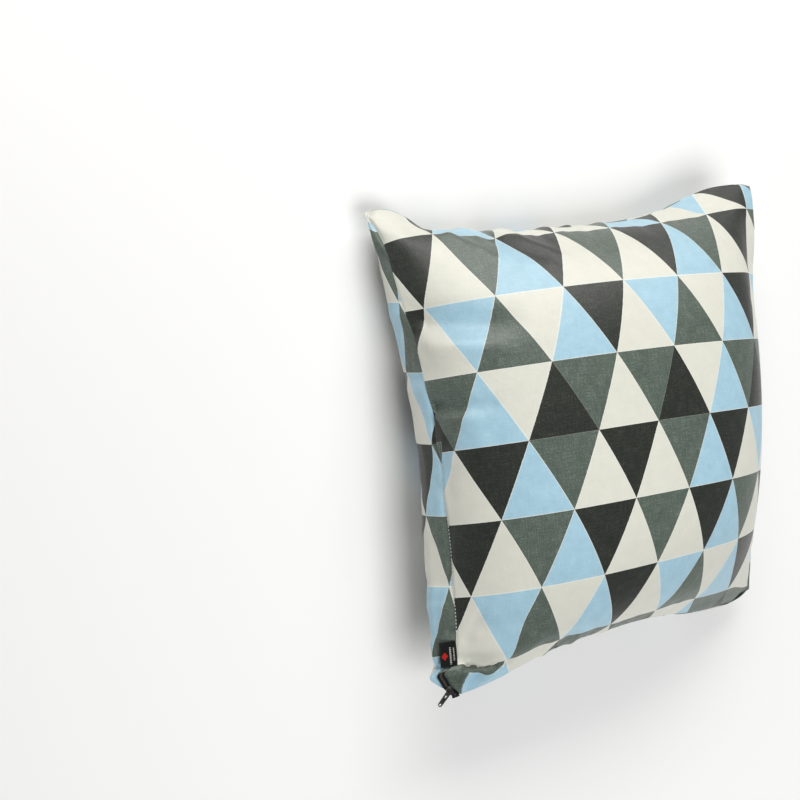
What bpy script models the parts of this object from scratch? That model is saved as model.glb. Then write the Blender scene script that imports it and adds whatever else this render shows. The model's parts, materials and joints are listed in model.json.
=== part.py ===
"""Square scatter cushion lying on its back, with the end of its concealed zip and a small label.

The frame is in metres: +X to the right and +Y to the top of the front panel, +Z out of it. The
cushion rests on the plane z = 0, and the origin is at the middle of its footprint.
"""

import itertools
import math

import bmesh
import bpy
import numpy as np
from mathutils import Matrix, Vector
from mathutils.bvhtree import BVHTree

# Driving dimensions
COVER_SIDE = 0.450  # the sewn square, laid flat
FRONT_CROWN = 0.078  # the front panel's rise over the seam
BACK_CROWN = 0.090  # the back panel's depth under the seam, before it is pressed flat
SEAM_HEIGHT = 0.058  # the mean plane of the seam over the floor
FOOTPRINT_MIDDLE = (0.0069, 0.0030)  # on the cover's own axes, which its corners and sides are given on
FLOOR_EASE = 0.003  # the back panel rounds onto the floor over this height
REST_MIDDLE = (-0.03, 0.09)  # the patch that lies flat on the floor, in places on the back panel
REST_HALF = (0.50, 0.50)
RIM_RISE = (0.20, 0.0012)  # radius of the cloth's curve off the floor round the patch, and how far it goes
REST_POINTS = ((-0.37, -0.32), (0.39, -0.32), (-0.02, 0.56))  # the cushion bears on these, so it can't rock
REST_DISH = (0.0002, 0.02)  # the patch is this far off the floor beyond this distance from them
CELLS = 44  # faces along a side of each panel
EDGE_CROWDING = 0.62  # 0 spaces the faces evenly, 1 crowds them to the seam

# How full each half of the front panel is: the exponent of its profile, from seam to middle
FRONT_FULLNESS = {"left": 3.2, "right": 2.8, "bottom": 3.1, "top": 3.2}
BACK_FULLNESS = {"left": 4.0, "right": 3.0, "bottom": 3.2, "top": 3.2}

# The filling has slumped: the crown is fuller towards the top, and its middle has moved
CROWN_LEAN = 0.07
MIDDLE_SHIFT = (0.027, 0.006)

# Corner ears: where each corner lies, past the shape that the crown alone would give it
CORNERS = {
    # name: (side in x, side in y, shift in x, shift in y, lift)
    "bottom_left": (-1, -1, 0.041, -0.017, 0.015),
    "bottom_right": (1, -1, -0.011, 0.012, -0.042),
    "top_left": (-1, 1, 0.011, 0.019, -0.035),
    "top_right": (1, 1, 0.006, 0.029, 0.003),
}

# Sides: how far the middle of each seam lies outwards of the shape that the crown gives, and its lift
SIDES = {
    # name: (side in x, side in y, outwards, lift)
    "left": (-1, 0, 0.013, 0.030),
    "right": (1, 0, -0.002, 0.036),
    "bottom": (0, -1, 0.007, 0.024),
    "top": (0, 1, 0.017, -0.012),
}

# The back panel bulges out past the seam: at the middle of the side, and more at its lower end
SIDE_BULGES = {
    # name: (side in x, side in y, at the middle, more at the lower or left end)
    "left": (-1, 0, 0.020, 0.026),
    "right": (1, 0, 0.010, 0.004),
    "bottom": (0, -1, 0.008, 0.0),
    "top": (0, 1, 0.008, 0.0),
}
BULGE_SHARPNESS = 6  # how near to the seam the bulge is
BULGE_REACH = 16  # how near to the corners it goes

# Folds and puckers in the cloth of both panels, as soft bumps: places and spreads on the panel run from
# -1 to 1, shifts and lifts are in metres
FOLDS = (
    # name: (place u, place v, spread in u, spread in v, shift in x, shift in y, lift)
    ("zip ear, turned out", -1.00, -0.90, 0.10, 0.030, -0.012, 0.001, 0.003),
    ("zip ear, towards its tip", -1.00, -0.95, 0.10, 0.045, -0.010, 0.001, 0.003),
    ("crease over the zip ear", -0.90, -0.865, 0.09, 0.020, 0.002, 0.001, -0.007),
    ("cloth drawn to the zip ear", -0.76, -0.87, 0.12, 0.10, 0.003, -0.002, 0.000),
    ("seam above the zip ear", -1.00, -0.70, 0.10, 0.13, 0.003, 0.000, 0.000),
    ("top left ear, tip", -1.00, 1.00, 0.10, 0.10, -0.003, 0.003, 0.000),
    ("top left ear, neck", -0.98, 0.84, 0.12, 0.16, 0.005, 0.000, 0.002),
    ("top seam, first dip", -0.66, 1.00, 0.15, 0.07, 0.000, -0.008, 0.000),
    ("row under the first dip", -0.74, 0.86, 0.20, 0.09, 0.000, 0.005, 0.001),
)

# Small parts in the left seam. A place along the seam runs from -1 at its lower corner to 1 at its top
CLEARANCE = 0.0003
START_ABOVE = 0.012  # a piece is lowered onto the cloth from here
LABEL_ALONG = (-0.765, -0.866)
LABEL_SIZE = (0.0260, 0.0178, 0.0010)  # along the seam, out of it, thickness of its two layers
LABEL_PITCH = math.radians(10)  # its free edge stands off the cloth by this
LABEL_TURN = math.radians(14)  # its upper end leans away from the seam
ZIP_ALONG = (-0.975, -0.893)
TAPE_SIZE = (0.0250, 0.0066, 0.0012)
COIL_SIZE = (0.0240, 0.0024, 0.0012)
SLIDER_SIZE = (0.0088, 0.0070, 0.0030)
SLIDER_AT = 0.0075  # from the middle of the tape towards the corner
PULL_FROM = (0.0, 0.0022)  # on the slider, from its middle
PULL_LENGTH = 0.0165
PULL_WIDTHS = (0.0054, 0.0044)  # over the slider and at the free end
PULL_THICKNESS = 0.0010
PULL_TURN = math.radians(122)  # from the tape's own line, in the tape's plane
PULL_EYE = 0.0013  # radius of the round hole near the free end
PULL_WINDOW = 0.0030  # length of the pointed hole near the slider
PULL_WINDOW_AT = 0.0036

HALF = COVER_SIDE / 2


def power(value, exponent):
    return np.abs(value) ** exponent


def panel_places():
    """The grid's places on a panel, from -1 at one seam to 1 at the other, closer together at the seams."""
    even = np.linspace(-1, 1, CELLS + 1)
    places = (1 - EDGE_CROWDING) * even + EDGE_CROWDING * np.sin(even * math.pi / 2)
    return np.meshgrid(places, places)


def crown(u, v, height, fullness):
    """Height of a crown that is nothing at the seam, with its own profile in each half."""
    across = np.where(u < 0, power(u, fullness["left"]), power(u, fullness["right"]))
    along = np.where(v < 0, power(v, fullness["bottom"]), power(v, fullness["top"]))
    return height * (1 - across) * (1 - along)


def drawn_in(height, places, axis):
    """How far cloth reaches along one axis when it climbs over the crown: cloth doesn't stretch."""
    step = np.diff(places, axis=axis) * HALF
    climb = np.diff(height, axis=axis)
    reach = np.sqrt(np.clip(step**2 - climb**2, (0.2 * step) ** 2, None))
    start = np.zeros_like(np.take(reach, [0], axis=axis))
    total = np.concatenate([start, np.cumsum(reach, axis=axis)], axis=axis)
    return total - np.take(total, [CELLS // 2], axis=axis)


def front_panel(u, v):
    height = crown(u, v, FRONT_CROWN, FRONT_FULLNESS) * (1 + CROWN_LEAN * v)
    x = drawn_in(height, u, 1)
    y = drawn_in(height, v, 0)
    lift = np.zeros_like(height)
    for side_x, side_y, shift_x, shift_y, rise in CORNERS.values():
        near = ((1 + side_x * u) * (1 + side_y * v) / 4) ** 2
        x += near * shift_x
        y += near * shift_y
        lift += near * rise
    for side_x, side_y, outwards, rise in SIDES.values():
        other = v if side_x else u
        near = ((1 + side_x * u + side_y * v) / 2) ** 2 * (1 - other**2)
        x += near * side_x * outwards
        y += near * side_y * outwards
        lift += near * rise
    middle = (1 - u**2) * (1 - v**2)
    x += middle * MIDDLE_SHIFT[0]
    y += middle * MIDDLE_SHIFT[1]
    for _, place_u, place_v, spread_u, spread_v, shift_x, shift_y, rise in FOLDS:
        near = np.exp(-(((u - place_u) / spread_u) ** 2) - ((v - place_v) / spread_v) ** 2)
        x += near * shift_x
        y += near * shift_y
        lift += near * rise
    return x, y, lift + height, lift


def on_floor(u, v, height):
    """Heights of cloth that the floor carries: flat on the rest patch, and easing off the floor round it."""
    off = np.hypot(
        np.clip(np.abs(u - REST_MIDDLE[0]) - REST_HALF[0], 0, None) * HALF,
        np.clip(np.abs(v - REST_MIDDLE[1]) - REST_HALF[1], 0, None) * HALF,
    )
    radius, most = RIM_RISE
    floor = np.minimum(off**2 / (2 * radius) + 0.02 * off, most)
    dish, reach = REST_DISH
    away = [np.hypot(u - place_u, v - place_v) * HALF for place_u, place_v in REST_POINTS]
    floor += dish * (1 - np.exp(-((np.minimum.reduce(away) / reach) ** 2)))
    over = height - floor
    eased = (over + FLOOR_EASE) ** 2 / (4 * FLOOR_EASE)
    return floor + np.where(over < -FLOOR_EASE, 0, np.where(over > FLOOR_EASE, over, eased))


def back_panel(u, v, x, y, lift):
    depth = crown(u, v, BACK_CROWN, BACK_FULLNESS)
    x, y = x.copy(), y.copy()
    for side_x, side_y, outwards, more in SIDE_BULGES.values():
        this, other = (u, v) if side_x else (v, u)
        out = np.where(this * (side_x + side_y) > 0, power(this, BULGE_SHARPNESS), 0)
        swell = 4 * out * (1 - out) * (1 - power(other, BULGE_REACH))
        reach = swell * (outwards + more * np.clip(-other, 0, 1))
        x += reach * side_x
        y += reach * side_y
    return x, y, on_floor(u, v, lift - depth + SEAM_HEIGHT)


def add_panel(mesh, places, faces_up):
    """A grid of faces with its points set on the panel."""
    made = bmesh.ops.create_grid(mesh, x_segments=CELLS, y_segments=CELLS, size=1)
    order = sorted(made["verts"], key=lambda point: (round(point.co.y, 5), round(point.co.x, 5)))
    for point, place in zip(order, places.reshape(-1, 3)):
        point.co = Vector(place.tolist())
    if not faces_up:
        faces = list({face for point in made["verts"] for face in point.link_faces})
        bmesh.ops.reverse_faces(mesh, faces=faces)


def cushion_panels():
    """The places of both panels' points, which meet at the seam."""
    u, v = panel_places()
    x, y, top, lift = front_panel(u, v)
    front = np.stack([x, y, top + SEAM_HEIGHT], axis=-1)
    back = np.stack(back_panel(u, v, x, y, lift), axis=-1)
    middle = np.array([*FOOTPRINT_MIDDLE, 0])
    return front - middle, back - middle


def cushion_mesh(front, back):
    mesh = bmesh.new()
    add_panel(mesh, front, True)
    add_panel(mesh, back, False)
    bmesh.ops.remove_doubles(mesh, verts=mesh.verts, dist=1e-5)
    return mesh


def surface(name, colour, roughness, metallic=0.0):
    material = bpy.data.materials.new(name)
    material.use_nodes = True
    shader = material.node_tree.nodes["Principled BSDF"]
    shader.inputs["Base Color"].default_value = (*colour, 1)
    shader.inputs["Roughness"].default_value = roughness
    shader.inputs["Metallic"].default_value = metallic
    return material


def add_object(name, mesh, material, collection, matrix=None):
    data = bpy.data.meshes.new(name)
    mesh.to_mesh(data)
    mesh.free()
    data.materials.append(material)
    data.shade_smooth()
    data.set_sharp_from_angle(angle=math.radians(40))
    node = bpy.data.objects.new(name, data)
    node.matrix_world = matrix or Matrix()
    collection.objects.link(node)
    return node


class Wall:
    """The back panel beside the left seam, where the label and the zip lie."""

    def __init__(self, back, cloth):
        self.back = back
        self.places = panel_places()[1][:, 0]
        self.tree = BVHTree.FromPolygons(
            [point.co for point in cloth.vertices], [face.vertices for face in cloth.polygons]
        )

    def at(self, along, reach):
        """The point of the cloth that lies a distance from the seam."""
        columns = CELLS // 4
        row = np.array(
            [[np.interp(along, self.places, self.back[:, j, axis]) for axis in range(3)] for j in range(columns)]
        )
        run = np.concatenate([[0], np.cumsum(np.linalg.norm(np.diff(row, axis=0), axis=1))])
        return Vector([float(np.interp(reach, run, row[:, axis])) for axis in range(3)])

    def seat(self, ends, size, spin=0.0, pitch=0.0):
        """A matrix for a flat piece on the cloth: X along the seam, Y away from it, Z out of the cloth."""
        upper, lower = max(ends), min(ends)
        middle = (upper + lower) / 2
        along = (self.at(upper, 0) - self.at(lower, 0)).normalized()
        across = self.at(middle, size[1]) - self.at(middle, 0)
        across = (across - along * across.dot(along)).normalized()
        turn = Matrix((along, across, along.cross(across))).transposed()
        turn = turn @ Matrix.Rotation(spin, 3, "Z") @ Matrix.Rotation(pitch, 3, "X")
        out = turn.col[2]
        start = self.at(middle, 0) + turn @ Vector((0, size[1] / 2, START_ABOVE))
        gaps = []
        for step_x, step_y in itertools.product(np.linspace(-0.5, 0.5, 9), repeat=2):
            corner = start + turn @ Vector((step_x * size[0], step_y * size[1], 0))
            gaps.append(self.tree.ray_cast(corner, -out, 2 * START_ABOVE)[3] or 2 * START_ABOVE)
        centre = start - out * (min(gaps) - CLEARANCE - size[2] / 2)
        return Matrix.Translation(centre) @ turn.to_4x4()


def rounded_box(size, radius):
    mesh = bmesh.new()
    bmesh.ops.create_cube(mesh, size=1)
    bmesh.ops.scale(mesh, vec=size, verts=mesh.verts)
    bmesh.ops.bevel(mesh, geom=mesh.edges, offset=radius, segments=2, profile=0.5, affect="EDGES")
    return mesh


def add_label(wall, material, collection):
    matrix = wall.seat(LABEL_ALONG, LABEL_SIZE, LABEL_TURN, LABEL_PITCH)
    add_object("label", rounded_box(LABEL_SIZE, 0.00035), material, collection, matrix)


def add_zip(wall, tape_material, metal, collection):
    tape = wall.seat(ZIP_ALONG, TAPE_SIZE)
    add_object("zip_tape", rounded_box(TAPE_SIZE, 0.0004), tape_material, collection, tape)
    above = TAPE_SIZE[2] / 2 + CLEARANCE
    coil_room = TAPE_SIZE[0] / 2 - SLIDER_AT + SLIDER_SIZE[0] / 2 + CLEARANCE
    coil_size = (TAPE_SIZE[0] - coil_room, *COIL_SIZE[1:])
    coil_place = Vector((coil_room / 2, 0, above + coil_size[2] / 2))
    coil = tape @ Matrix.Translation(coil_place)
    add_object("zip_coil", rounded_box(coil_size, 0.0004), tape_material, collection, coil)
    slider = tape @ Matrix.Translation((-SLIDER_AT, 0, above + SLIDER_SIZE[2] / 2))
    add_object("zip_slider", rounded_box(SLIDER_SIZE, 0.0009), metal, collection, slider)
    add_pull(slider, metal, collection)


def spline_of(curve, points):
    spline = curve.splines.new("POLY")
    spline.points.add(len(points) - 1)
    for point, (x, y) in zip(spline.points, points):
        point.co = (x, y, 0, 1)
    spline.use_cyclic_u = True


def arc(centre, radius, start, end, steps):
    angles = [start + (end - start) * step / steps for step in range(steps + 1)]
    return [(centre + radius * math.cos(angle), radius * math.sin(angle)) for angle in angles]


def add_pull(slider, metal, collection):
    """A flat tab that lies on the slider, with a round eye at its free end and a pointed window near the slider."""
    curve = bpy.data.curves.new("zip_pull", "CURVE")
    curve.dimensions = "2D"
    curve.fill_mode = "BOTH"
    curve.extrude = PULL_THICKNESS / 2
    near, far = (width / 2 for width in PULL_WIDTHS)
    quarter = math.pi / 2
    tip = arc(PULL_LENGTH - far, far, -quarter, quarter, 10)
    spline_of(curve, [*tip, (0, near), (0, -near)])
    spline_of(curve, arc(PULL_LENGTH - far, PULL_EYE, 0, 4 * quarter * 11 / 12, 11))
    start = PULL_WINDOW_AT
    end = start + PULL_WINDOW
    spline_of(curve, [(start, -0.0013), (start, 0.0013), (end, 0.0004), (end, -0.0004)])
    curve.materials.append(metal)
    pull = bpy.data.objects.new("zip_pull", curve)
    above = Matrix.Translation((*PULL_FROM, (SLIDER_SIZE[2] + PULL_THICKNESS) / 2 + CLEARANCE))
    pull.matrix_world = slider @ above @ Matrix.Rotation(PULL_TURN, 4, "Z")
    collection.objects.link(pull)


def main():
    for item in list(bpy.data.objects):
        bpy.data.objects.remove(item)
    collection = bpy.data.collections.new("square_cushion")
    bpy.context.scene.collection.children.link(collection)
    cotton = surface("printed_cotton", (0.45, 0.55, 0.60), 0.9)
    woven = surface("woven_label", (0.02, 0.02, 0.02), 0.8)
    tape = surface("zip_tape_black", (0.02, 0.02, 0.02), 0.7)
    metal = surface("black_metal", (0.05, 0.05, 0.05), 0.35, 0.9)
    panels = cushion_panels()
    cushion = add_object("cushion", cushion_mesh(*panels), cotton, collection)
    wall = Wall(panels[1], cushion.data)
    add_label(wall, woven, collection)
    add_zip(wall, tape, metal, collection)


main()
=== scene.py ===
# Looks of a square cushion in triangle-printed cotton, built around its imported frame.
# Metres: +X to the cushion's right side, +Y to its top, +Z out of its face. It lies on z = 0.
import json
import math

import bmesh
import bpy
import numpy as np
from mathutils import Matrix, Vector

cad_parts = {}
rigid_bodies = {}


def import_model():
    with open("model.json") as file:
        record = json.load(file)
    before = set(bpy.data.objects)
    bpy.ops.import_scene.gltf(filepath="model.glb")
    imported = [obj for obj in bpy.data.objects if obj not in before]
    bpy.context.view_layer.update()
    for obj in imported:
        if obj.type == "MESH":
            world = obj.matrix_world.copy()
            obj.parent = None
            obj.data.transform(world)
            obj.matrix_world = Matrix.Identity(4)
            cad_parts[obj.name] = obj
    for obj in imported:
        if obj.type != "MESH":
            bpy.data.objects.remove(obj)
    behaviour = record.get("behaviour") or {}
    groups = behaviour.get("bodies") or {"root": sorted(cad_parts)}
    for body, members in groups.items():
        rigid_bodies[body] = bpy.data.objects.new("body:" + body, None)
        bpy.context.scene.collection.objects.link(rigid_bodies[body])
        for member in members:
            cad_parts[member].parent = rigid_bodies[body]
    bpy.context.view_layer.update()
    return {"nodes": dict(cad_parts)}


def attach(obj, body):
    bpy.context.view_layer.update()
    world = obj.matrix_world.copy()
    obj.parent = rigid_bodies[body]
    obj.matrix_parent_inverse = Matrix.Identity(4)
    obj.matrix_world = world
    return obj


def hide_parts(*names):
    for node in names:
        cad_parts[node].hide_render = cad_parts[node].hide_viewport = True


for leftOver in list(bpy.data.objects):
    bpy.data.objects.remove(leftOver)
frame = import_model()
scene = bpy.context.scene
print("frame loaded:", ", ".join(sorted(frame["nodes"])))

# Camera and light

camera = {
    "place": (-0.7617, 0.1010, 1.2620),
    "turn": (0.108, -24.223, -5.535),  # degrees, XYZ
    "lens": 60.395,
    "sensor": 36.0,
    "clip": (0.05, 30),
}
light = {
    "top": {
        "place": (0.02, 1.75, 1.15),
        "aim": (0.0, 0.05, 0.05),
        "size": (2.2, 0.9),
        "power": 35.0,
        "colour": (1.0, 0.985, 0.95),
    },
    "front": {
        "place": (0.05, -1.05, 2.10),
        "aim": (0.0, 0.0, 0.05),
        "size": (1.5, 1.5),
        "power": 36.5,
        "colour": (1.0, 0.995, 0.98),
    },
    "sky": (0.94, 0.97, 1.0),
    "skyStrength": 0.16,
}


def placed(name, data):
    item = bpy.data.objects.new(name, data)
    scene.collection.objects.link(item)
    return item


def addCamera():
    data = bpy.data.cameras.new("photoCamera")
    data.lens, data.sensor_width = camera["lens"], camera["sensor"]
    data.clip_start, data.clip_end = camera["clip"]
    item = placed("photoCamera", data)
    item.location = camera["place"]
    item.rotation_euler = [math.radians(angle) for angle in camera["turn"]]
    scene.camera = item


def addLamp(name, values, shines=True):
    data = bpy.data.lights.new(name, "AREA")
    data.shape, data.energy, data.color = "RECTANGLE", values["power"], values["colour"]
    data.size, data.size_y = values["size"]
    item = placed(name, data)
    item.location = values["place"]
    item.visible_glossy = shines
    item.rotation_euler = (Vector(values["aim"]) - item.location).to_track_quat("-Z", "Y").to_euler()


addCamera()
addLamp("topLight", light["top"])
addLamp("frontLight", light["front"], shines=False)  # a fill light that leaves no gloss on the face
world = bpy.data.worlds.new("studio")
scene.world = world
world.use_nodes = True
backdrop = world.node_tree.nodes["Background"].inputs
backdrop["Color"].default_value = (*light["sky"], 1)
backdrop["Strength"].default_value = light["skyStrength"]
scene.view_settings.view_transform = "Standard"
print("camera and lights set")

# Shader helpers


class Socket:
    # a material's socket that can be used in plain arithmetic
    def __init__(self, finish, socket):
        self.finish, self.socket = finish, socket

    def math(self, operation, *others):
        return self.finish.add("Math", {"operation": operation}, dict(enumerate((self, *others))))

    def __add__(self, other):
        return self.math("ADD", other)

    def __sub__(self, other):
        return self.math("SUBTRACT", other)

    def __rsub__(self, other):
        return self.finish.add("Math", {"operation": "SUBTRACT"}, {0: other, 1: self})

    def __mul__(self, other):
        return self.math("MULTIPLY", other)

    def __truediv__(self, other):
        return self.math("DIVIDE", other)

    def __lt__(self, other):
        return self.math("LESS_THAN", other)

    def __gt__(self, other):
        return self.math("GREATER_THAN", other)

    def __mod__(self, other):
        return self.math("FLOORED_MODULO", other)

    def __abs__(self):
        return self.math("ABSOLUTE")

    def __floor__(self):
        return self.math("FLOOR")

    def clamped(self):
        return self.math("MINIMUM", 1).math("MAXIMUM", 0)

    __radd__, __rmul__ = __add__, __mul__


class Finish:
    # a Principled material whose nodes are added one by one
    def __init__(self, name, values):
        self.material = bpy.data.materials.new(name)
        self.material.use_nodes = True
        self.tree = self.material.node_tree
        self.shader = self.tree.nodes["Principled BSDF"]
        for key, value in values.items():
            self.set(key, value)

    def set(self, key, value):
        self.put(self.shader.inputs[key], value)

    def put(self, socket, value):
        if isinstance(value, Socket):
            self.tree.links.new(value.socket, socket)
        else:
            socket.default_value = value

    def add(self, kind, settings=None, sockets=None, out=0):
        node = self.tree.nodes.new("ShaderNode" + kind)
        for key, value in (settings or {}).items():
            if key == "colours":
                self.fillRamp(node.color_ramp, value)
            else:
                setattr(node, key, value)
        for key, value in (sockets or {}).items():
            self.put(node.inputs[key], value)
        return Socket(self, node.outputs[out])

    def fillRamp(self, ramp, colours):
        ramp.interpolation = "CONSTANT"
        for _ in colours[2:]:
            ramp.elements.new(0.5)
        for k, colour in enumerate(colours):
            ramp.elements[k].position, ramp.elements[k].color = k / len(colours), (*colour, 1)

    def shade(self, colour, factor):
        return self.add("VectorMath", {"operation": "SCALE"}, {0: colour, "Scale": factor})

    def mix(self, factor, first, second):
        return self.add("Mix", {"data_type": "RGBA"}, {0: factor, 6: first, 7: second}, out=2)

    def noise(self, place, scale, detail, roughness):
        sockets = {"Vector": place, "Scale": scale, "Detail": detail, "Roughness": roughness}
        return self.add("TexNoise", None, sockets)

    def stretchedNoise(self, x, y, *grade):
        return self.noise(self.add("CombineXYZ", None, {0: x, 1: y}), 1.0, *grade)

    def bump(self, height, strength, distance, under=None):
        sockets = {"Height": height, "Strength": strength, "Distance": distance}
        if under is not None:
            sockets["Normal"] = under
        return self.add("Bump", None, sockets)


def linear(colour):
    # from 0 to 255, as a screen shows it, to linear light
    return tuple((c / 255 / 12.92) if c < 10.3 else ((c / 255 + 0.055) / 1.055) ** 2.4 for c in colour)


def paint(colour):
    return (*linear(colour), 1)


# Printed cotton

# Rows of the print, four to a repeat. Each letter is a triangle, point up in the even places and down in
# the odd ones: C cream, B light blue, S slate, K charcoal.
printRows = ("CSBKCSCKBSCK", "CBSCBKCBSCBK", "BCKSCSKCBSKS", "CKBSCKCSBKCB")
backRows = ("CSBKCSCKBSCK", "CBSCBKCBSCBK", "CBKSCSKCBSKS", "CKBSCKCSBKCB")
cotton = {
    "shader": {"Roughness": 0.40, "Sheen Weight": 0.10, "Sheen Roughness": 0.4, "Specular IOR Level": 0.62},
    "inks": {"C": (222, 222, 211), "B": (166, 204, 222), "S": (82, 95, 86), "K": (38, 42, 36)},
    "ground": (237, 237, 229),
    "unit": 0.0666,  # one triangle's width, and a row's height
    "sideSlant": 0.894,  # cosine of the slant of a triangle's sides
    "waver": (0.009, 26.0, 3.0, 0.5),  # reach, scale, detail and roughness
    "bare": {"C": 0.0100, "B": 0.0095, "S": 0.0024, "K": 0.0022},  # unprinted edge of each triangle
    "lineSoft": 0.0045,
    "lineShows": 0.80,
    "speckle": {"C": 0.0, "B": 0.18, "S": 0.17, "K": 0.06},  # how far bare cloth shows through
    "specks": (0.35, 0.84, 4.5),  # streaks' share in them, threshold and sharpness
    "speckPatches": (1.3, 0.25),  # contrast and floor
    "cloud": {"C": 0.06, "B": 0.12, "S": 0.24, "K": 0.20},  # how uneven each ink is
    "cloudMix": (2.4, 0.8, 0.9),  # shares of patches, grain and streaks
    "grain": (48.0, 4.0, 0.8),  # scale, detail and roughness
    "patch": (5.0, 4.0, 0.65),
    "thread": 0.00062,
    "streaks": (5.0, 60.0, 3.0, 0.6),  # scale along a thread and across it, detail and roughness
    "slubs": (2.0, 3.0, 90.0, 2.0, 0.5),  # reach, then the same
    "weaveShade": 0.09,
    "weaveBump": (0.5, 0.00022),  # strength and height
    "wrinkle": (7.0, 4.0, 0.6),
    "wrinkleBump": (0.3, 0.0016),
}


def printedCotton(name, rows):
    finish = Finish(name, cotton["shader"])
    flat = finish.add("UVMap", {"uv_map": "clothFlat"})
    across, down = (finish.add("SeparateXYZ", None, {0: flat}, out=axis) for axis in (0, 1))
    # the printed edge wavers a little, as ink on a weave does
    reach, *grade = cotton["waver"]
    waver = (finish.noise(flat, *grade) - 0.5) * reach
    down = down + waver
    band = math.floor(down)
    inBand = down - band
    even = (band % 2) < 0.5
    place = across + waver - even * 0.5
    nearest = math.floor(place + 0.5)
    toApex = abs(place - nearest)
    pointUp = toApex < inBand * 0.5
    cell = pointUp * (nearest * 2) + (1 - pointUp) * (math.floor(place) * 2 + 1)
    repeat = len(rows[0])
    turn = ((cell % repeat) + 0.5) / repeat
    kinds = ("inks", "speckle", "cloud", "bare")
    ink, through, uneven, bare = (chartOf(finish, rows, kind, band, turn) for kind in kinds)
    # bare line between the triangles
    toSide = abs(toApex - inBand * 0.5) * cotton["sideSlant"]
    toRow = inBand.math("MINIMUM", 1 - inBand)
    toEdge = toSide.math("MINIMUM", toRow)
    line = ((bare - toEdge) / cotton["lineSoft"]).clamped()
    # mottling of the ink: specks, streaks along both threads, and clouds
    grain = finish.noise(flat, *cotton["grain"])
    patch = finish.noise(flat, *cotton["patch"])
    along, over, *grade = cotton["streaks"]
    streaks = finish.stretchedNoise(across * along, down * over, *grade)
    streaks = streaks + finish.stretchedNoise(across * over, down * along, *grade)
    share, threshold, sharpness = cotton["specks"]
    speck = ((grain + streaks * share - threshold) * sharpness).clamped()
    contrast, least = cotton["speckPatches"]
    mottle = speck * through * (patch * contrast + least)
    ground = paint(cotton["ground"])
    colour = finish.mix(mottle, ink, ground)
    colour = finish.mix(line * cotton["lineShows"], colour, ground)
    # plain weave: two crossed threads, with slubs
    weft = weave(finish, down, across)
    ofPatch, ofGrain, ofStreaks = cotton["cloudMix"]
    cloud = (patch - 0.5) * ofPatch + (grain - 0.5) * ofGrain + (streaks - 1.0) * ofStreaks
    shadeIn = 1 - cotton["weaveShade"] / 2 + weft * cotton["weaveShade"] + cloud * uneven
    finish.set("Base Color", finish.shade(colour, shadeIn))
    soft = finish.bump(finish.noise(flat, *cotton["wrinkle"]), *cotton["wrinkleBump"])
    finish.set("Normal", finish.bump(weft, *cotton["weaveBump"], soft))
    return finish.material


def chartOf(finish, rows, kind, band, turn):
    # an ink, or a number that goes with it, for every triangle of the chart
    found = None
    for k, row in enumerate(rows):
        values = [cotton[kind][letter] for letter in row]
        colours = [linear(value) if kind == "inks" else (value,) * 3 for value in values]
        ramp = finish.add("ValToRGB", {"colours": colours}, {0: turn})
        found = ramp if found is None else finish.mix((band % len(rows)) > (k - 0.5), found, ramp)
    return found


def weave(finish, down, across):
    perUnit = cotton["unit"] / cotton["thread"] * math.pi
    reach, along, over, *grade = cotton["slubs"]
    slub = finish.stretchedNoise(across * along, down * over, *grade) - 0.5
    rise = (down * perUnit + slub * reach).math("SINE")
    cross = (across * perUnit).math("SINE")
    return (rise * cross) * 0.35 + 0.5 + abs(rise) * 0.15


# Shape of the cover

cover = {
    "side": 0.450,
    "frontCrown": 0.078,
    "backCrown": 0.090,
    "seamHeight": 0.058,
    "footprintMiddle": (0.0069, 0.0030),
    "cells": 200,
    "crowding": 0.62,
    "frontFullness": {"left": 3.2, "right": 2.8, "bottom": 3.1, "top": 3.2},
    "backFullness": {"left": 4.0, "right": 3.0, "bottom": 3.2, "top": 3.2},
    "lean": 0.07,
    "middleShift": (0.027, 0.006),
    # side in x, side in y, shift in x, shift in y, lift
    "corners": (
        (-1, -1, 0.041, -0.017, 0.015),
        (1, -1, -0.011, 0.012, -0.042),
        (-1, 1, 0.011, 0.019, -0.035),
        (1, 1, 0.006, 0.029, 0.003),
    ),
    # side in x, side in y, outwards, lift
    "sides": ((-1, 0, 0.013, 0.030), (1, 0, -0.002, 0.036), (0, -1, 0.007, 0.024), (0, 1, 0.017, -0.012)),
    # side in x, side in y, at the middle, more at the lower or left end
    "bulges": ((-1, 0, 0.020, 0.026), (1, 0, 0.010, 0.004), (0, -1, 0.008, 0.0), (0, 1, 0.004, 0.0)),
    "bulgeSharpness": 6,
    "bulgeReach": 16,
    # place u, place v, spread in u, spread in v, shift in x, shift in y, lift
    "folds": (
        (-1, -0.9, 0.1, 0.03, -0.012, 0.001, 0.003), (-1, -0.95, 0.1, 0.045, -0.01, 0.001, 0.003),
        (-0.9, -0.865, 0.09, 0.02, 0.002, 0.001, -0.007), (-0.76, -0.87, 0.12, 0.1, 0.003, -0.002, 0),
        (-1, -0.7, 0.1, 0.13, 0.003, 0, 0), (-1, 1, 0.1, 0.1, -0.003, 0.003, 0),
        (-0.98, 0.84, 0.12, 0.16, 0.005, 0, 0.002), (-0.66, 1, 0.15, 0.07, 0, -0.008, 0),
        (-0.74, 0.86, 0.2, 0.09, 0, 0.005, 0.001),
    ),
    "floorEase": 0.003,
    "leastReach": 0.2,  # the share of its length that cloth reaches on the steepest climb
}
half = cover["side"] / 2


def portion(value, start, end):
    # 0 up to the start, 1 from the end on
    return np.clip((value - start) / (end - start), 0, 1)


def step(value, start, end):
    share = portion(value, start, end)
    return share * share * (3 - 2 * share)


def between(value, rise, fall):
    return step(value, *rise) * (1 - step(value, *fall))


def bump(u, v, placeU, placeV, spreadU, spreadV):
    return np.exp(-(((u - placeU) / spreadU) ** 2) - ((v - placeV) / spreadV) ** 2)


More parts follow.
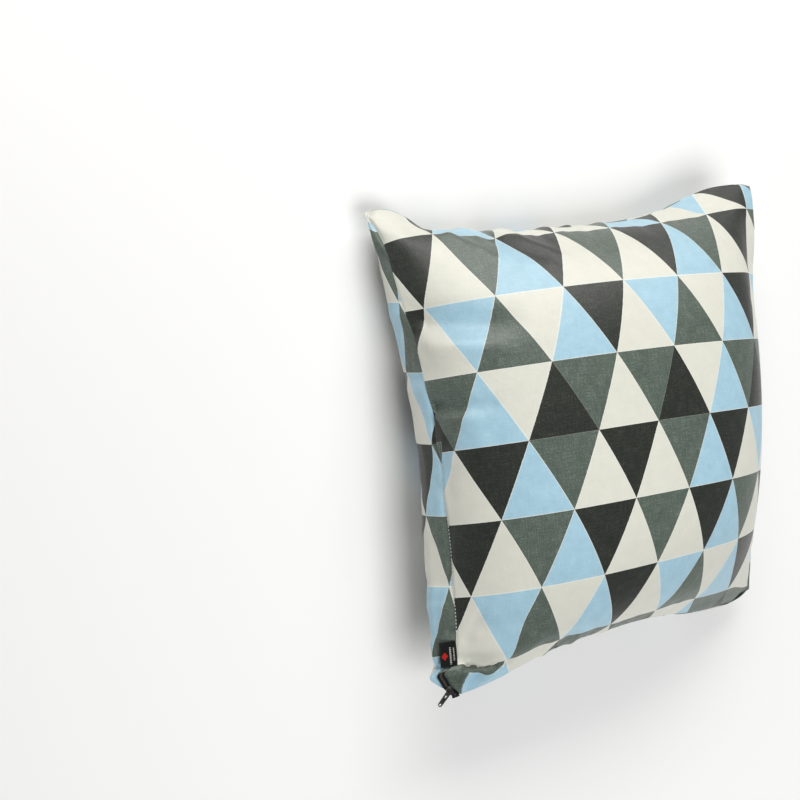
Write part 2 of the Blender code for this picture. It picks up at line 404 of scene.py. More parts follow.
def runningSum(values, axis):
    start = np.zeros_like(np.take(values, [0], axis=axis))
    return np.concatenate([start, np.cumsum(values, axis=axis)], axis=axis)


def gridPlaces():
    # where a panel's grid lines lie, crowded towards the seams
    even = np.linspace(-1, 1, cover["cells"] + 1)
    return (1 - cover["crowding"]) * even + cover["crowding"] * np.sin(even * math.pi / 2)


def crownOf(u, v, height, fullness):
    across = np.where(u < 0, np.abs(u) ** fullness["left"], np.abs(u) ** fullness["right"])
    along = np.where(v < 0, np.abs(v) ** fullness["bottom"], np.abs(v) ** fullness["top"])
    return height * (1 - across) * (1 - along)


def drawnIn(height, places, axis):
    # how far cloth reaches when it climbs over the crown
    stride = np.diff(places, axis=axis) * half
    climb = np.diff(height, axis=axis)
    reach = np.sqrt(np.clip(stride**2 - climb**2, (cover["leastReach"] * stride) ** 2, None))
    total = runningSum(reach, axis)
    return total - np.take(total, [cover["cells"] // 2], axis=axis)


def frontPanel(u, v):
    height = crownOf(u, v, cover["frontCrown"], cover["frontFullness"]) * (1 + cover["lean"] * v)
    x, y, lift = drawnIn(height, u, 1), drawnIn(height, v, 0), np.zeros_like(height)
    for sideX, sideY, shiftX, shiftY, rise in cover["corners"]:
        near = ((1 + sideX * u) * (1 + sideY * v) / 4) ** 2
        x, y, lift = x + near * shiftX, y + near * shiftY, lift + near * rise
    for sideX, sideY, outwards, rise in cover["sides"]:
        other = v if sideX else u
        near = ((1 + sideX * u + sideY * v) / 2) ** 2 * (1 - other**2)
        x, y, lift = x + near * sideX * outwards, y + near * sideY * outwards, lift + near * rise
    middle = (1 - u**2) * (1 - v**2)
    x, y = x + middle * cover["middleShift"][0], y + middle * cover["middleShift"][1]
    for *spot, shiftX, shiftY, rise in cover["folds"]:
        near = bump(u, v, *spot)
        x, y, lift = x + near * shiftX, y + near * shiftY, lift + near * rise
    return x, y, lift + height, lift


def backPanel(u, v, x, y, lift):
    depth = crownOf(u, v, cover["backCrown"], cover["backFullness"])
    for sideX, sideY, outwards, more in cover["bulges"]:
        this, other = (u, v) if sideX else (v, u)
        out = np.where(this * (sideX + sideY) > 0, np.abs(this) ** cover["bulgeSharpness"], 0)
        swell = 4 * out * (1 - out) * (1 - np.abs(other) ** cover["bulgeReach"])
        reach = swell * (outwards + more * np.clip(-other, 0, 1))
        x, y = x + reach * sideX, y + reach * sideY
    height, ease = lift - depth + cover["seamHeight"], cover["floorEase"]
    eased = (height + ease) ** 2 / (4 * ease)
    return x, y, np.where(height < -ease, 0, np.where(height > ease, height, eased))


# How the print lies on the front panel: across in triangles, down in rows.
frontLay = {
    "start": (-0.299, -0.378),  # at the top left corner
    # side in u, side in v, then how far that corner draws the print across and down
    "corners": ((1, 1, 0.455, -0.032), (-1, -1, 0.103, 0.023), (-1, 1, 0.0, -0.158)),
    "cornerPower": 4,  # a higher one keeps this nearer to the corner
    # at the top right the cloth was cut askew, so that it shows more of the row above
    "askew": (0.42, 0.70, 1.0, -1.5),  # from u, to u, moves across and down for each row above
    # at the lower right the line under the sixth row runs into the corner
    "lowLine": (0.76, 1.6, -0.27),  # from u, bend, move down
    "lowRow": (0.81, 0.97, 5.7, 0.35, -0.22),  # from u, to u, place down, spread, move across
    "highSide": (0.86, 0.2, 0.7, -0.07),  # from u, from v, to v, move across
    "lowTip": (5.9, 6.4, 6.0, 6.05, -0.2),  # from across, to across, from down, to down, move across
}
# The same beside the zip ear, where a fold hides part of the seventh row.
earLay = {
    "row": 6,  # the line above that row
    # place across, place down, spread across, spread down, move across, move down
    "pulls": (
        (0.50, 6, 0.25, 0.50, -0.05, -0.055),
        (0.02, 6, 0.35, 0.12, 0.0, 0.034),
        (0.27, 6, 0.14, 0.16, 0.0, -0.047),
    ),
    "lean": 0.63,  # triangles across for each row down
    "leanFrom": 0.09,
    "leanEnds": (0.45, 0.15),  # across: where the lean begins and where it is whole
    # places across, and how far down the triangle's slanted side shows there
    "fold": ((0.0, 0.1, 0.23, 0.34, 0.5), (0.080, 0.100, 0.116, 0.066, 0.03)),
    "pastSide": 1.25,  # how far past that side the hidden part goes
    "most": (0.49, 0.96),  # across and down, so that it stays inside one triangle
    "foldEnds": (0.40, 0.60),
    "ear": (0.04, 0.02),
    "earShows": 0.5,
}


def printPlaces(u, v):
    # where each point of the front panel lies on the flat print: across, down
    span = cover["side"] / cotton["unit"]
    across = frontLay["start"][0] + (1 + u) / 2 * span
    down = frontLay["start"][1] + (1 - v) / 2 * span
    for sideU, sideV, moveAcross, moveDown in frontLay["corners"]:
        near = ((1 + sideU * u) * (1 + sideV * v) / 4) ** frontLay["cornerPower"]
        across, down = across + near * moveAcross, down + near * moveDown
    fromU, toU, moveAcross, moveDown = frontLay["askew"]
    above = np.clip(-down, 0, None) * step(u, fromU, toU)
    across, down = across + above * moveAcross, down + above * moveDown
    fromU, bend, moveDown = frontLay["lowLine"]
    down = down + moveDown * portion(u, fromU, 1) ** bend * portion(down, 5, 6) ** 2
    fromU, toU, place, spread, moveAcross = frontLay["lowRow"]
    across = across + moveAcross * step(u, fromU, toU) * np.exp(-(((down - place) / spread) ** 2))
    fromU, fromV, toV, moveAcross = frontLay["highSide"]
    across = across + moveAcross * step(u, fromU, 1) * step(v, fromV, toV)
    *ends, moveAcross = frontLay["lowTip"]
    across = across + moveAcross * portion(across, *ends[:2]) * portion(down, *ends[2:])
    return tuckedPrint(across, down)


def tuckedPrint(across, down):
    # the fold beside the zip ear hides part of the print, and the ear itself shows less of it
    for *spot, moveAcross, moveDown in earLay["pulls"]:
        near = bump(across, down, *spot)
        across, down = across + near * moveAcross, down + near * moveDown
    row = earLay["row"]
    below = np.clip(down - row, 0, None)
    lean = earLay["lean"] * np.clip(below - earLay["leanFrom"], 0, None)
    across = across + lean * portion(across, *earLay["leanEnds"])
    mostAcross, mostDown = earLay["most"]
    slantedSide = 2 * np.clip(0.5 - across, 0, mostAcross)
    shareOfFold = np.clip(below / np.interp(across, *earLay["fold"]), 0, earLay["pastSide"])
    hidden = np.clip(shareOfFold * slantedSide, 0, mostDown)
    shown = portion(across, *earLay["foldEnds"])
    ear = portion(across, *earLay["ear"])
    beside = (hidden * (1 - shown) + below * shown) * (1 - ear)
    return across, np.where(down > row, row + beside + earLay["earShows"] * below * ear, down)


# The same on the back panel. Low runs from 0 at the top seam to 1 at the bottom one.
backLay = {
    "start": (1.09, -0.318),  # at the top of the left seam
    "takenUp": (0.024, 0.022),  # metres of cloth taken up beside the seam, and how far in
    "rowGrowth": 0.10,
    "strip": (-0.7, -0.4),  # from u, to u: where the left strip gives way to the rest
    # place in low, spread, move across
    "stripPulls": ((0.86, 0.07, 0.10), (0.555, 0.08, 0.065), (0.43, 0.055, 0.045)),
    "stripDrop": (0.24, 8),  # rows, and the power of low that they grow by
    "tip": (0.945, -0.80),  # from v, up to u
    "overZip": (-0.883, 0.022, 0.0075),  # place in v, half width, metres from the seam
    "lean": (-0.6, 0.8, 0.3, 0.9),  # from u, to u, from low, to low: the rest leans by one triangle
    "ownLength": (-0.92, -0.6),  # from u, to u: past it the rows follow the cloth's own length
}


def backPrintPlaces(u, v, back):
    # the back panel's print runs away from the left seam along the cloth
    run, climb = (runningSum(np.linalg.norm(np.diff(back, axis=axis), axis=2), axis) for axis in (1, 0))
    taken, reach = backLay["takenUp"]
    across = backLay["start"][0] - (run + taken * (1 - np.exp(-run / reach))) / cotton["unit"]
    low = (1 - v) / 2
    down = backLay["start"][1] + low * (cover["side"] / cotton["unit"] + backLay["rowGrowth"])
    strip = 1 - step(u, *backLay["strip"])
    for place, spread, move in backLay["stripPulls"]:
        across = across + strip * move * np.exp(-(((low - place) / spread) ** 2))
    drop, power = backLay["stripDrop"]
    down = down + strip * drop * low**power
    # the top left tip and the cloth over the zip's end are tucked, so they show another part
    fromV, toU = backLay["tip"]
    across = across - ((v > fromV) & (u < toU))
    # At the edges of the spot over the zip's end the print jumps by one triangle, which squeezes a thin dark
    # line of print in between: this line is painted shade in the gap beside the label
    place, halfWidth, fromSeam = backLay["overZip"]
    across = across + ((np.abs(v - place) < halfWidth) & (run < fromSeam))
    ends = backLay["lean"]
    across = across - step(u, *ends[:2]) * step(low, *ends[2:])
    slack = climb - climb[cover["cells"] // 2] - v * half
    return across, down - slack / cotton["unit"] * step(u, *backLay["ownLength"])


# Small forms on top of the main shape, charted on the flat cloth (-1 to 1 both ways).
folds = {
    # place u, place v, spread in u, spread in v, move in x, y and z in millimetres; both panels follow
    "tugs": (
        (-0.74, 1, 0.07, 0.07, 0, -5, 0), (-0.93, 1, 0.06, 0.05, 0, 2, 0), (-1, 1, 0.05, 0.07, -6, -4, 0),
        (0.74, 1, 0.16, 0.08, 0, 5, 1), (1, 1, 0.04, 0.04, -1, -3, 0), (1, -1, 0.12, 0.12, 1, 2.5, 0),
        (1, -1, 0.07, 0.07, 4.5, 6, 2), (0.52, -1, 0.3, 0.08, 0, -7.5, 0), (1, 0.72, 0.12, 0.26, 2.8, 0, 0),
        (1, -0.1, 0.1, 0.3, -1.8, 0, 0), (-1, 0.15, 0.1, 0.07, 3.4, 0, 0), (-1, -0.07, 0.1, 0.07, 3, 0, 0),
        (-1, 0.04, 0.03, 0.028, 0.6, 0, -1), (-0.86, -0.868, 0.075, 0.014, 0, -2.4, 1.5),
    ),
    # the same for the back panel alone
    "backTugs": (
        (-0.93, 0.92, 0.06, 0.1, -6.5, 0, 0), (-0.92, 0.8, 0.05, 0.08, -2.5, 0, 0),
    ),
    # from u, v to u, v, half width and height in millimetres: lines pinched in or raised
    "frontPleats": (
        (-0.92, 0.52, -0.6, 0.47, 14, -6.4), (-0.92, 0.43, -0.68, 0.38, 11, 3.6),
        (-0.99, 0.18, -0.74, 0.155, 7.5, -4.2), (-0.98, 0.13, -0.8, 0.12, 6, 2.2),
        (-0.99, 0.33, -0.88, 0.31, 6, -1.2), (-0.84, -0.67, -0.7, -0.64, 8, 1.1),
        (-0.87, -0.73, -0.68, -0.71, 8, -1.1), (-0.95, -0.76, -0.86, -0.62, 7, -1),
        (-0.43, 0.9, -0.24, 0.73, 6.5, 2.2), (-0.5, 0.86, -0.36, 0.74, 6, -1.8),
        (-0.69, 0.87, -0.55, 0.76, 6.5, 2), (-0.66, 1, -0.64, 0.84, 6, -2), (-0.57, 1, -0.56, 0.86, 5, 1.6),
        (-0.48, 1, -0.47, 0.84, 6, -2), (-0.37, 1, -0.36, 0.86, 5.5, 1.8), (-0.27, 1, -0.25, 0.82, 6, -1.6),
        (-0.14, 1, -0.14, 0.85, 7, 1.6), (0, 1, 0, 0.84, 7, -1.4), (0.15, 1, 0.14, 0.86, 7, 1.4),
        (0.31, 1, 0.29, 0.84, 7, -1.4), (0.47, 1, 0.44, 0.88, 7, 1.2), (0.66, 1, 0.6, 0.86, 8, -1.4),
        (-0.52, -1, -0.52, -0.9, 5, 1.2), (-0.44, -1, -0.43, -0.88, 5, -1.4),
        (-0.35, -1, -0.35, -0.9, 5, 1.2), (-0.26, -1, -0.26, -0.88, 6, -1.2),
        (-0.14, -1, -0.14, -0.9, 6, 1), (0.02, -1, 0.02, -0.9, 7, -1), (1, 0.66, 0.88, 0.64, 7, -1.2),
        (1, 0.32, 0.9, 0.32, 6, 1), (1, 0.12, 0.88, 0.13, 7, -1.2), (1, -0.18, 0.9, -0.17, 7, 1),
        (1, -0.48, 0.88, -0.46, 7, -1.4), (1, -0.68, 0.9, -0.66, 6, 1.2),
        # the zip ear: its ridge, the tuck beside it and the soft fold beyond
        (-0.93, -0.905, -0.985, -0.995, 3.5, 3), (-0.89, -0.925, -0.94, -0.99, 4, -3.5),
        (-0.86, -0.95, -0.77, -0.94, 4.5, 2.2), (-0.93, -0.877, -0.745, -0.908, 2.6, -4.8),
        (-0.92, -0.91, -0.8, -0.936, 2.8, 1.8),
    ),
    "backPleats": (
        (-1, 0.8, -0.9, 0.78, 6, -1.5), (-1, 0.55, -0.88, 0.56, 7, 1.2), (-1, 0.3, -0.9, 0.3, 6, -1.4),
        (-1, -0.14, -0.88, -0.16, 7, -1.4), (-1, -0.33, -0.88, -0.33, 7, 1.2),
        (-1, -0.52, -0.86, -0.54, 6, -1.8), (-1, -0.62, -0.88, -0.63, 5, 1.4),
        (-1, -0.72, -0.88, -0.74, 5, -1.6), (-0.5, 1, -0.48, 0.86, 7, -1.5), (0, 1, 0.02, 0.86, 7, 1.4),
        (0.5, 1, 0.48, 0.86, 7, -1.5), (-0.3, -1, -0.3, -0.88, 7, -1.4), (0.36, -1, 0.38, -0.88, 7, -1.2),
        (1, 0.5, 0.88, 0.5, 7, -1.4), (1, -0.1, 0.88, -0.12, 7, 1.4),
    ),
    "pleatStrength": 1.35,
    "pleatFade": 0.6,  # share of its height that a pleat loses on its way
    "seamDepth": 0.0009,
    "seamWidth": 0.0013,
    "pleatMargin": 0.002,  # no pleat nearer to the seam
    "pleatsAbove": 0.004,  # nor on the cloth that lies on the floor
    "tugsAbove": 0.002,
    "lapRise": 0.0009,  # the stitched lap over the zip
    "lapAlong": ((-0.73, -0.67), (0.24, 0.30)),  # where it rises and where it falls, along the left side
    "lapAcross": ((0.0001, 0.0008), (0.010, 0.014)),  # the same in metres from the seam
}


def normalsOf(panel):
    across, along = np.gradient(panel, axis=1), np.gradient(panel, axis=0)
    out = np.cross(across, along)
    return out / (np.linalg.norm(out, axis=-1, keepdims=True) + 1e-12)


def pleatHeight(u, v, rows):
    height = np.zeros_like(u)
    for fromU, fromV, toU, toV, width, rise in rows:
        alongU, alongV = toU - fromU, toV - fromV
        share = ((u - fromU) * alongU + (v - fromV) * alongV) / (alongU**2 + alongV**2)
        near = np.clip(share, 0, 1)
        offset = np.hypot(u - fromU - near * alongU, v - fromV - near * alongV) * half / (width / 1000)
        height += rise / 1000 * np.exp(-(offset**2)) * (1 - folds["pleatFade"] * near**2)
    return height


def folded(u, v, front, back):
    # adds the tugs, pleats, seam groove and zip lap to the two panels
    toSeam = np.minimum(1 - np.abs(u), 1 - np.abs(v)) * half
    onSeam = (toSeam == 0)[..., None]
    for row in folds["tugs"]:
        near = bump(u, v, *row[:4])[..., None] * np.array(row[4:]) / 1000
        front, back = front + near, back + near * (back[..., 2:] > folds["tugsAbove"])
    for row in folds["backTugs"]:
        back = back + bump(u, v, *row[:4])[..., None] * np.array(row[4:]) / 1000 * ~onSeam
    outwards = normalsOf(front), -normalsOf(back)
    groove = -folds["seamDepth"] * np.exp(-((toSeam / folds["seamWidth"]) ** 2))[..., None]
    seamWay = outwards[0] + outwards[1]
    seamWay /= np.linalg.norm(seamWay, axis=-1, keepdims=True) + 1e-9
    inner = step(toSeam, 0.0, folds["pleatMargin"])
    lap = folds["lapRise"] * between(v, *folds["lapAlong"]) * between((1 + u) * half, *folds["lapAcross"])
    result = []
    for panel, out, rows in zip((front, back), outwards, ("frontPleats", "backPleats")):
        height = pleatHeight(u, v, folds[rows]) * inner * folds["pleatStrength"]
        height = height * (panel[..., 2] > folds["pleatsAbove"])
        if rows == "backPleats":
            height += lap
        moved = panel + out * height[..., None] + out * groove
        result.append(np.where(onSeam, panel + seamWay * groove, moved))
    return result


def coverPoints():
    u, v = np.meshgrid(gridPlaces(), gridPlaces())
    x, y, top, lift = frontPanel(u, v)
    middle = np.array([*cover["footprintMiddle"], 0])
    front = np.stack([x, y, top + cover["seamHeight"]], axis=-1) - middle
    back = np.stack(backPanel(u, v, x, y, lift), axis=-1) - middle
    return u, v, front, back


def gridFaces(size, start, flip):
    index = np.arange(size * size).reshape(size, size) + start
    quads = np.stack([index[:-1, :-1], index[:-1, 1:], index[1:, 1:], index[1:, :-1]], axis=-1).reshape(-1, 4)
    return quads[:, ::-1] if flip else quads


def sewnMesh(name, front, back):
    # one closed mesh of both panels, which share their seam points
    size = len(front)
    faces = np.concatenate([gridFaces(size, 0, False), gridFaces(size, size * size, True)])
    rim = np.zeros((size, size), bool)
    rim[[0, -1], :] = rim[:, [0, -1]] = True
    share = np.arange(2 * size * size)
    share[size * size :][rim.ravel()] = np.arange(size * size)[rim.ravel()]
    used, corners = np.unique(share[faces], return_inverse=True)
    places = np.concatenate([front.reshape(-1, 3), back.reshape(-1, 3)])
    data = bpy.data.meshes.new(name)
    data.from_pydata(places[used].tolist(), [], corners.reshape(faces.shape).tolist())
    return data, faces, used, share


puff = {
    "frames": 18,
    "cap": 0.0025,  # metres that a point may move
    "soften": 2,  # rounds of averaging that take the mesh's own grain out
    "keepBelow": 90,  # and the rounds that leave only what is wider than a wrinkle
    "held": 0.0006,  # points below this height stay on the floor
    "settings": {
        "quality": 5,
        "mass": 0.3,
        "air_damping": 2.0,
        "tension_stiffness": 20.0,
        "compression_stiffness": 20.0,
        "shear_stiffness": 20.0 / 3,  # woven cloth gives most along its bias
        "bending_stiffness": 0.6,
        "use_pressure": True,
        "uniform_pressure_force": 3.0,
    },
}


def puffedUp(u, v, front, back):
    # the flat cut cloth swells over its filling and buckles along the seams
    coarse = [panel[::2, ::2] for panel in (front, back)]
    data, faces, used, share = sewnMesh("puffing", *coarse)
    item = placed("puffing", data)
    item.shape_key_add(name="filled")
    cut = item.shape_key_add(name="cut")
    flat = np.stack([u * half, v * half, 0 * u], axis=-1)[::2, ::2].reshape(-1, 3)
    cut.data.foreach_set("co", np.concatenate([flat, flat])[used].ravel())
    before = np.concatenate([panel.reshape(-1, 3) for panel in coarse])[used]
    held = item.vertex_groups.new(name="held")
    held.add(np.flatnonzero(before[:, 2] < puff["held"]).tolist(), 1.0, "REPLACE")
    cloth = item.modifiers.new("cloth", "CLOTH")
    settings = cloth.settings
    for key, value in puff["settings"].items():
        setattr(settings, key, value)
    settings.vertex_group_mass = "held"
    settings.rest_shape_key = cut
    settings.effector_weights.gravity = 0
    cloth.point_cache.frame_end = puff["frames"]
    for frameNumber in range(1, puff["frames"] + 1):
        scene.frame_set(frameNumber)
    after = np.empty(3 * len(before))
    solved = item.evaluated_get(bpy.context.evaluated_depsgraph_get())
    solved.data.vertices.foreach_get("co", after)
    moved = after.reshape(-1, 3) - before
    pairs = np.array([edge.vertices for edge in data.edges])
    moved = spreadOut(moved, pairs, puff["soften"]) - spreadOut(moved, pairs, puff["keepBelow"])
    length = np.linalg.norm(moved, axis=1, keepdims=True) + 1e-9
    print(f"wrinkles kept: {length.mean() * 1000:.2f} mm on average")
    moved *= puff["cap"] * np.tanh(length / puff["cap"]) / length
    scene.frame_set(1)
    bpy.data.objects.remove(item)
    place = np.searchsorted(used, share)
    size = len(coarse[0])
    both = moved[place].reshape(2, size, size, 3)
    return front + finer(both[0]), back + finer(both[1])


def spreadOut(values, pairs, rounds):
    # averages each point with its neighbours
    count = np.bincount(pairs.ravel(), minlength=len(values))[:, None]
    for _ in range(rounds):
        total = np.zeros_like(values)
        for here, there in ((0, 1), (1, 0)):
            for axis in range(3):
                total[:, axis] += np.bincount(pairs[:, here], values[pairs[:, there], axis], len(values))
        values = (values + total / count) / 2
    return values


def finer(coarse):
    # a value at every point of the fine grid, from each second one
    for _ in range(2):
        ends = np.concatenate([coarse[:1], coarse, coarse[-1:]])
        full = np.empty((2 * len(coarse) - 1, *coarse.shape[1:]))
        full[::2] = coarse
        full[1::2] = (9 * (ends[1:-2] + ends[2:-1]) - ends[:-3] - ends[3:]) / 16
        coarse = full.swapaxes(0, 1)
    return coarse


def addCover():
    u, v, front, back = coverPoints()
    frontUv = np.stack(printPlaces(u, v), axis=-1).reshape(-1, 2)
    backUv = np.stack(backPrintPlaces(u, v, back), axis=-1).reshape(-1, 2)
    front, back = puffedUp(u, v, front, back)
    front, back = folded(u, v, front, back)
    back[..., 2] = np.clip(back[..., 2], 0, None)
    data, faces, *_ = sewnMesh("cushionCover", front, back)
    layer = data.uv_layers.new(name="clothFlat")
    layer.data.foreach_set("uv", np.concatenate([frontUv, backUv])[faces.reshape(-1)].ravel())
    data.materials.append(printedCotton("printedCottonFront", printRows))
    data.materials.append(printedCotton("printedCottonBack", backRows))
    data.polygons.foreach_set("material_index", np.repeat([0, 1], len(faces) // 2))
    data.shade_smooth()
    return placed("cushionCover", data), front


cushion, frontCloth = addCover()
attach(cushion, "root")
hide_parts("cushion")
print("cover made:", len(cushion.data.polygons), "faces")


# Stitched lap, sewn with a pale thread

stitching = {
    "from": -0.036,  # places along the left side, 1 at the top corner
    "to": -0.752,
    "pitch": 0.0033,
    "length": 0.0024,
    "width": 0.00110,
    "flatness": 2.6,
    "slant": 4,  # degrees
    "fromEdge": 0.00022,
    "lift": 0.00022,
    "thread": (232, 233, 224),
    "shade": 0.82,  # between its plies
    "ply": {"Scale": 900.0, "Distortion": 1.0},
    "bump": (0.5, 0.0001),
    "shader": {"Roughness": 0.75},
}


def onCloth(u, v):
    # a point of the front panel, and the way out of the cloth there
    places = gridPlaces()
    column = np.interp(u, places, np.arange(len(places)))
    row = np.interp(v, places, np.arange(len(places)))
    column0, row0 = min(int(column), len(places) - 2), min(int(row), len(places) - 2)
    shareU, shareV = column - column0, row - row0
    corner = frontCloth[row0 : row0 + 2, column0 : column0 + 2]
    low = corner[0, 0] * (1 - shareU) + corner[0, 1] * shareU
    high = corner[1, 0] * (1 - shareU) + corner[1, 1] * shareU
    out = np.cross(corner[0, 1] - corner[0, 0], corner[1, 0] - corner[0, 0])
    return Vector(low * (1 - shareV) + high * shareV), Vector(out).normalized()


def threadMaterial():
    finish = Finish("paleThread", stitching["shader"])
    sockets = {"Vector": finish.add("TexCoord", out=3), **stitching["ply"]}
    ply = finish.add("TexWave", {"bands_direction": "DIAGONAL"}, sockets)
    shaded = [c * stitching["shade"] for c in stitching["thread"]]
    finish.set("Base Color", finish.mix(ply, paint(shaded), paint(stitching["thread"])))
    finish.set("Normal", finish.bump(ply, *stitching["bump"]))
    return finish.material


def addStitches():
    mesh = bmesh.new()
    pitch, length, width = stitching["pitch"], stitching["length"], stitching["width"]
    count = int((stitching["from"] - stitching["to"]) * half / pitch)
    edge = -1 + stitching["fromEdge"] / half
    size = Matrix.Diagonal((length / 2, width / 2, width / stitching["flatness"], 1))
    slant = Matrix.Rotation(math.radians(stitching["slant"]), 4, "Z")
    for k in range(count):
        place = stitching["from"] - k * pitch / half
        point, out = onCloth(edge, place)
        ahead, _ = onCloth(edge, place - 0.004)
        along = (ahead - point).normalized()
        turn = Matrix((along, out.cross(along).normalized(), out)).transposed().to_4x4()
        matrix = Matrix.Translation(point + out * stitching["lift"]) @ turn @ slant @ size
        bmesh.ops.create_uvsphere(mesh, u_segments=10, v_segments=6, radius=1, matrix=matrix)
    addPiece("lapStitches", mesh, threadMaterial(), "printed_cotton")


def addPiece(name, mesh, material, slotName, *nodes):
    data = bpy.data.meshes.new(name)
    mesh.to_mesh(data)
    mesh.free()
    data.materials.append(material)
    data.shade_smooth()
    item = placed(name, data)
    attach(item, "root")
    if nodes:
        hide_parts(*nodes)


addStitches()
print("lap stitched")


# The lap's open end, where a folded corner of the cover shows

tuck = {
    "from": 0.041,  # places along the left side
    "to": -0.045,
    "reach": 0.0064,
    "taper": 1.5,
    "rise": 0.0007,
    "rounding": 0.6,
    "sink": 0.0004,  # how far its underside goes into the cover
    "inset": 0.0002,
    "print": (1.0, 0.36),  # inside one slate triangle
    "printSize": (0.1, 0.14),
    "grid": (16, 8),  # faces along and across
}


def closedSheets(mesh, along, across, pointAt):
    # two sheets joined all round; pointAt takes the shares along and across and the side, 1 or -1
    sheets, made = [], []
    for side in (1, -1):
        rows = []
        for k in range(along + 1):
            rows.append([mesh.verts.new(pointAt(k / along, j / across, side)) for j in range(across + 1)])
        sheets.append(rows)
        for k in range(along):
            for j in range(across):
                quad = [rows[k][j], rows[k + 1][j], rows[k + 1][j + 1], rows[k][j + 1]]
                made.append((mesh.faces.new(quad[::side]), k / along, j / across))
    top, bottom = sheets
    ring = [(k, 0) for k in range(along)] + [(along, j) for j in range(across)]
    ring += [(k, across) for k in range(along, 0, -1)] + [(0, j) for j in range(across, 0, -1)]
    for (k, j), (nextK, nextJ) in zip(ring, ring[1:] + ring[:1]):
        mesh.faces.new([top[nextK][nextJ], top[k][j], bottom[k][j], bottom[nextK][nextJ]])
    bmesh.ops.recalc_face_normals(mesh, faces=mesh.faces)
    return made


def tuckPoint(share, over, side):
    reach = tuck["reach"] * (1 - share ** tuck["taper"]) / half
    v = tuck["from"] + (tuck["to"] - tuck["from"]) * share
    point, out = onCloth(-1 + reach * over + tuck["inset"], v)
    rise = tuck["rise"] * (1 - tuck["rounding"] * abs(2 * over - 1) ** 4)
    return point + out * (rise if side > 0 else -tuck["sink"])


def addTuck():
    mesh = bmesh.new()
    flatPrint = mesh.loops.layers.uv.new("clothFlat")
    place, size = tuck["print"], tuck["printSize"]
    for face, share, over in closedSheets(mesh, *tuck["grid"], tuckPoint):
        for loop in face.loops:
            loop[flatPrint].uv = (place[0] + (over - 0.5) * size[0], place[1] + share * size[1])
    addPiece("lapTuck", mesh, bpy.data.materials["printedCottonFront"], "printed_cotton")


addTuck()
print("lap tucked in")


# Woven label, with a gentle wave along it


def ownAxes(node):
    # a flat node's middle and axes, long, wide and thin, and its size along each
    places = np.array([vertex.co for vertex in frame["nodes"][node].data.vertices])
    middle = (places.max(0) + places.min(0)) / 2
    _, _, axes = np.linalg.svd(places - places.mean(0))
    long, wide, thin = (Vector(axis) for axis in axes)
    long = -long if long.y > 0 else long
    thin = -thin if thin.z < 0 else thin
    wide = thin.cross(long)
    turn = Matrix((long, wide, thin)).transposed()
    local = (places - middle) @ np.array(turn)
    middle = Vector(middle) + turn @ Vector((local.max(0) + local.min(0)) / 2)
    return Matrix.Translation(middle) @ turn.to_4x4(), local.max(0) - local.min(0)


weaving = {
    "shader": {"Roughness": 0.62, "Specular IOR Level": 0.35},
    "border": (0.0009, 0.0012),  # at the ends and along the sides
    "borderShows": 0.7,
    "fuzz": (2600.0, 3.0, 0.7),  # scale, detail and roughness
    "bump": (0.6, 0.00012),  # strength and height
}


def wovenMaterial(name, ink, border, place, size, rib, marks=None):
    # a ribbed weave in a node's or piece's own axes, with a border round it
    finish = Finish(name, weaving["shader"])
    spot = finish.add("TexCoord", out=3)
    ways = []
    for row in place.inverted()[:2]:
        dot = finish.add("VectorMath", {"operation": "DOT_PRODUCT"}, {0: spot, 1: tuple(row[:3])}, out=1)
        ways.append(dot + row[3])
    along, across = ways
    cord = (along * (2 * math.pi / rib)).math("SINE")
    cross = (across * (2 * math.pi / rib * 0.8)).math("SINE")
    threads = cord * cross * 0.25 + cord * 0.25 + 0.5
    fuzz = finish.noise(spot, *weaving["fuzz"])
    atEnds, atSides = weaving["border"]
    edge = (abs(across) > (size[1] / 2 - atSides)) + (abs(along) > (size[0] / 2 - atEnds))
    tone = finish.mix(edge.math("MINIMUM", 1) * weaving["borderShows"], paint(ink), paint(border))
    if marks:
        placeAlong, placeAcross, longHalf, wideHalf = marks["lozenge"]
        within = abs(along - placeAlong) / longHalf + abs(across - placeAcross) / wideHalf
        tone = finish.mix(within < 1, tone, paint(marks["red"]))
        for placeAlong, placeAcross, longHalf, wideHalf, pitch in marks["lines"]:
            broken = ((along + 1.0) % pitch) < (pitch * marks["dash"])
            there = (abs(along - placeAlong) < longHalf) * (abs(across - placeAcross) < wideHalf) * broken
            tone = finish.mix(there, tone, paint(marks["pale"]))
    finish.set("Base Color", finish.shade(tone, threads * 0.7 + fuzz * 0.6 + 0.3))
    finish.set("Normal", finish.bump(threads + fuzz * 0.3, *weaving["bump"]))
    return finish.material


label = {
    "ink": (24, 24, 25),
    "selvedge": (46, 46, 48),
    "thick": 0.00085,
    "rounding": 0.035,  # of its rim, as a share of its size
    "wave": 0.00035,
    "waves": (5.2, 2.1, 3.6, 0.6),
    "rib": 0.00042,
    "lift": 0.0005,
    "grid": (26, 18),
    # plain woven marks: a red lozenge and two broken pale lines
    "red": (178, 36, 30),
    "pale": (188, 186, 182),
    "lozenge": (0.0020, -0.0040, 0.0042, 0.0036),  # place along, place across, half length, half width
    "lines": ((0.0022, 0.0020, 0.0085, 0.0009, 0.0021), (0.0010, 0.0056, 0.0065, 0.0006, 0.0015)),
    "dash": 0.62,  # how much of each line's pitch is woven
}


